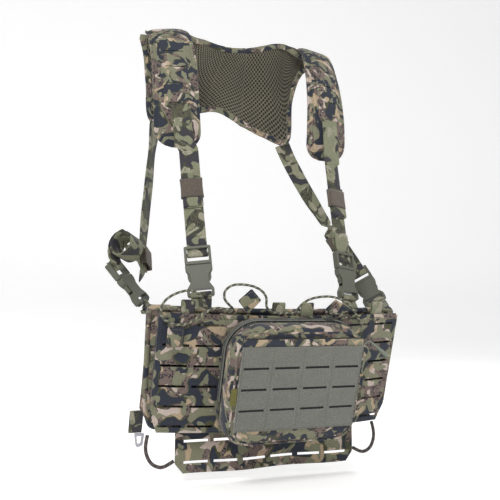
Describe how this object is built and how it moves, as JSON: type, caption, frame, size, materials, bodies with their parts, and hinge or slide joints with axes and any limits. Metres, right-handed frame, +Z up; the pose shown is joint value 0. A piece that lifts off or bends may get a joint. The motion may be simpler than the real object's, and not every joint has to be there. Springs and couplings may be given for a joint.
{
  "type": "chest rig with padded harness",
  "caption": "Curved camouflage chest panel with a zipped pouch and slotted lower flap, hung on a padded shoulder harness with side-release buckles.",
  "frame": {"origin": "between the undersides of the two shoulder pads, at the top of the shoulders", "axes": "+Z up; the wearer stands at +Y of the panel and faces -Y, so -Y is the front; -X is on the left seen from the front"},
  "size_m": [0.3972, 0.2536, 0.6033],
  "materials": {
    "camo_fabric": null,
    "camo_webbing": null,
    "spacer_mesh": "dark olive honeycomb spacer mesh",
    "foam": "closed-cell foam",
    "lining_fabric": "dark olive lining fabric",
    "brown_elastic": "ribbed brown elastic",
    "loop_field": "brushed grey-green loop fabric",
    "label_olive": "plain olive label, blank",
    "zipper_tape": "grey coated zipper tape and coil",
    "retention_cord": "braided shock cord with a diagonal fleck",
    "side_cord": "braided brown shock cord",
    "pull_grip": "soft grey-green moulded grip on thin cord",
    "buckle_plastic": "matt olive-grey acetal",
    "hard_trim": "matt grey-lavender acetal and dull coated metal"
  },
  "bodies": {
    "rig": {"back_panel": "camo_fabric", "buckle_anchors": "camo_webbing", "buckle_socket_front_left": "buckle_plastic", "buckle_socket_front_right": "buckle_plastic", "buckle_socket_rear_left": "buckle_plastic", "buckle_socket_rear_right": "buckle_plastic", "front_panel": "camo_fabric", "front_strap_left": "camo_webbing", "front_strap_right": "camo_webbing", "pad_cover_left": "camo_fabric", "pad_cover_right": "camo_fabric", "pad_foam": "foam", "pad_lining": "spacer_mesh", "pad_slot_strips": "camo_fabric", "pocket_floor": "lining_fabric", "pocket_walls": "lining_fabric", "pouch_base": "camo_fabric", "rear_strap_left": "camo_webbing", "rear_strap_right": "camo_webbing", "retention_cord_left": "retention_cord", "retention_cord_middle": "retention_cord", "retention_cord_right": "retention_cord", "strap_keepers": "brown_elastic", "strap_tails": "camo_webbing", "webbing_loops": "camo_fabric", "yoke_cover": "camo_fabric", "yoke_mesh": "spacer_mesh", "zipper_base_side": "zipper_tape"},
    "latch_front_left": {"buckle_latch_front_left": "buckle_plastic", "strap_loop_front_left": "camo_webbing"},
    "prong_front_left_left": {"buckle_prong_front_left_left": "buckle_plastic"},
    "prong_front_left_right": {"buckle_prong_front_left_right": "buckle_plastic"},
    "latch_front_right": {"buckle_latch_front_right": "buckle_plastic", "strap_loop_front_right": "camo_webbing"},
    "prong_front_right_left": {"buckle_prong_front_right_left": "buckle_plastic"},
    "prong_front_right_right": {"buckle_prong_front_right_right": "buckle_plastic"},
    "latch_rear_left": {"buckle_latch_rear_left": "buckle_plastic", "strap_loop_rear_left": "camo_webbing"},
    "prong_rear_left_left": {"buckle_prong_rear_left_left": "buckle_plastic"},
    "prong_rear_left_right": {"buckle_prong_rear_left_right": "buckle_plastic"},
    "latch_rear_right": {"buckle_latch_rear_right": "buckle_plastic", "strap_loop_rear_right": "camo_webbing"},
    "prong_rear_right_left": {"buckle_prong_rear_right_left": "buckle_plastic"},
    "prong_rear_right_right": {"buckle_prong_rear_right_right": "buckle_plastic"},
    "pouch_lid": {"pouch_lid": "camo_fabric", "zipper_lid_side": "zipper_tape", "pouch_slip_pocket": "camo_fabric", "fastener_field": "loop_field", "blank_label": "label_olive"},
    "slider_top": {"zipper_slider_top": "hard_trim"},
    "slider_side": {"zipper_slider_side": "hard_trim"},
    "pull_top": {"zipper_pull_top": "pull_grip"},
    "pull_side": {"zipper_pull_side": "pull_grip"},
    "tab_left": {"pull_tab_left": "camo_fabric"},
    "tab_middle": {"pull_tab_middle": "camo_fabric"},
    "tab_right": {"pull_tab_right": "camo_fabric"},
    "lower_flap": {"lower_flap": "camo_fabric", "side_cord_left": "side_cord", "side_cord_right": "side_cord"},
    "corner_hook": {"corner_hook": "hard_trim"}
  },
  "joints": [
    {"name": "release_front_left", "type": "slide", "parent": "rig", "child": "latch_front_left", "axis": [-0.021, 0.2417, 0.9701], "range_m": [0, 0.022]},
    {"name": "squeeze_front_left_left", "type": "hinge", "parent": "latch_front_left", "child": "prong_front_left_left", "pos_m": [-0.11209, -0.10166, -0.33615], "axis": [0.3218, 0.9203, -0.2224], "range_deg": [-6, 0], "stiffness_Nm_per_rad": 0.05},
    {"name": "squeeze_front_left_right", "type": "hinge", "parent": "latch_front_left", "child": "prong_front_left_right", "pos_m": [-0.08937, -0.10904, -0.33381], "axis": [0.3218, 0.9203, -0.2224], "range_deg": [0, 6], "stiffness_Nm_per_rad": 0.05},
    {"name": "release_front_right", "type": "slide", "parent": "rig", "child": "latch_front_right", "axis": [0.021, 0.2417, 0.9701], "range_m": [0, 0.022]},
    {"name": "squeeze_front_right_left", "type": "hinge", "parent": "latch_front_right", "child": "prong_front_right_left", "pos_m": [0.09047, -0.10874, -0.33501], "axis": [-0.3218, 0.9203, -0.2224], "range_deg": [-6, 0], "stiffness_Nm_per_rad": 0.05},
    {"name": "squeeze_front_right_right", "type": "hinge", "parent": "latch_front_right", "child": "prong_front_right_right", "pos_m": [0.11318, -0.10136, -0.33735], "axis": [-0.3218, 0.9203, -0.2224], "range_deg": [0, 6], "stiffness_Nm_per_rad": 0.05},
    {"name": "release_rear_left", "type": "slide", "parent": "rig", "child": "latch_rear_left", "axis": [-0.6075, 0.1546, 0.7792], "range_m": [0, 0.022]},
    {"name": "squeeze_rear_left_left", "type": "hinge", "parent": "latch_rear_left", "child": "prong_rear_left_left", "pos_m": [-0.17325, -0.03739, -0.34526], "axis": [0.5891, -0.5703, 0.5725], "range_deg": [-6, 0], "stiffness_Nm_per_rad": 0.05},
    {"name": "squeeze_rear_left_right", "type": "hinge", "parent": "latch_rear_left", "child": "prong_rear_left_right", "pos_m": [-0.18604, -0.05675, -0.35139], "axis": [0.5891, -0.5703, 0.5725], "range_deg": [0, 6], "stiffness_Nm_per_rad": 0.05},
    {"name": "release_rear_right", "type": "slide", "parent": "rig", "child": "latch_rear_right", "axis": [-0.1201, 0.6608, 0.7409], "range_m": [0, 0.022]},
    {"name": "squeeze_rear_right_left", "type": "hinge", "parent": "latch_rear_right", "child": "prong_rear_right_left", "pos_m": [0.18161, -0.03885, -0.34175], "axis": [-0.6166, -0.6345, 0.466], "range_deg": [-6, 0], "stiffness_Nm_per_rad": 0.05},
    {"name": "squeeze_rear_right_right", "type": "hinge", "parent": "latch_rear_right", "child": "prong_rear_right_right", "pos_m": [0.16294, -0.02923, -0.35336], "axis": [-0.6166, -0.6345, 0.466], "range_deg": [0, 6], "stiffness_Nm_per_rad": 0.05},
    {"name": "pouch_fold", "type": "hinge", "parent": "rig", "child": "pouch_lid", "pos_m": [0, -0.12102, -0.5359], "axis": [1, 0, 0], "range_deg": [0, 75]},
    {"name": "zip_top", "type": "slide", "parent": "pouch_lid", "child": "slider_top", "axis": [1, 0, 0], "range_m": [-0.088, 0]},
    {"name": "zip_side", "type": "slide", "parent": "pouch_lid", "child": "slider_side", "axis": [0, -0.3173, 0.9483], "range_m": [-0.05, 0]},
    {"name": "swing_top_pull", "type": "hinge", "parent": "slider_top", "child": "pull_top", "pos_m": [0.044, -0.16809, -0.39538], "axis": [0, 0.9483, 0.3173], "range_deg": [-70, 0]},
    {"name": "swing_side_pull", "type": "hinge", "parent": "slider_side", "child": "pull_side", "pos_m": [0.0891, -0.15343, -0.43919], "axis": [0, 0.9483, 0.3173], "range_deg": [-18, 60]},
    {"name": "flip_tab_left", "type": "hinge", "parent": "rig", "child": "tab_left", "pos_m": [-0.138, -0.14518, -0.40585], "axis": [1, 0, 0], "range_deg": [-70, 0]},
    {"name": "flip_tab_middle", "type": "hinge", "parent": "rig", "child": "tab_middle", "pos_m": [-0.056, -0.16781, -0.3628], "axis": [1, 0, 0], "range_deg": [-60, 0]},
    {"name": "flip_tab_right", "type": "hinge", "parent": "rig", "child": "tab_right", "pos_m": [0.0675, -0.16102, -0.38057], "axis": [0.874, 0.1542, -0.4609], "range_deg": [-30, 0]},
    {"name": "flap_swing", "type": "hinge", "parent": "rig", "child": "lower_flap", "pos_m": [0, -0.081, -0.534], "axis": [1, 0, 0], "range_deg": [-60, 45]},
    {"name": "hook_swing", "type": "hinge", "parent": "rig", "child": "corner_hook", "pos_m": [-0.161, -0.06032, -0.53721], "axis": [1, 0, 0], "range_deg": [-60, 60]}
  ],
  "couplings": [
    {"joint": "squeeze_front_left_left", "follows": "squeeze_front_left_right", "ratio": -1},
    {"joint": "squeeze_front_right_left", "follows": "squeeze_front_right_right", "ratio": -1},
    {"joint": "squeeze_rear_left_left", "follows": "squeeze_rear_left_right", "ratio": -1},
    {"joint": "squeeze_rear_right_left", "follows": "squeeze_rear_right_right", "ratio": -1}
  ]
}
